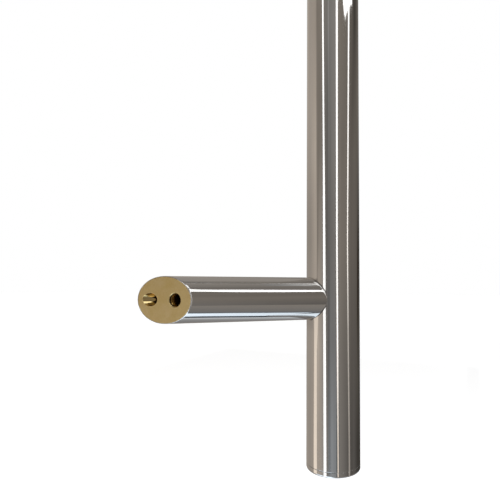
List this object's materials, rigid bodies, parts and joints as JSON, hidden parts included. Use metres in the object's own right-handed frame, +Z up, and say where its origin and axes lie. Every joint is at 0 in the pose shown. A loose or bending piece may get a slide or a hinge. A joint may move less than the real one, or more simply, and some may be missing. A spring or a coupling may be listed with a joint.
{
  "type": "offset bridge pull handle",
  "caption": "Long round tubular door pull, with an upright grip set to one side on slanting posts that bolt to the door from behind.",
  "frame": {"origin": "on the plane of the door, half way between the two tapped fixing holes", "axes": "+Z up along the grip, +Y from the handle into the door, square to the feet, and +X to the side that the feet lie on, away from the grip"},
  "size_m": [0.1035, 0.086, 0.6],
  "materials": {
    "grip_steel": "polished stainless steel",
    "cap_steel": "polished stainless steel",
    "post_steel": "polished stainless steel",
    "insert_brass": "satin, machined",
    "inner_steel": "turned",
    "fixing_steel": "zinc plated"
  },
  "bodies": {
    "root": {"grip_tube": "grip_steel", "upper_end_cap": "cap_steel", "lower_end_cap": "cap_steel", "upper_post": "post_steel", "lower_post": "post_steel", "upper_foot_insert": "insert_brass", "lower_foot_insert": "insert_brass", "upper_saddle_plug": "inner_steel", "lower_saddle_plug": "inner_steel", "upper_joint_washer": "fixing_steel", "lower_joint_washer": "fixing_steel", "upper_joint_screw": "fixing_steel", "lower_joint_screw": "fixing_steel", "upper_grip_nut": "inner_steel", "lower_grip_nut": "inner_steel"}
  },
  "joints": []
}
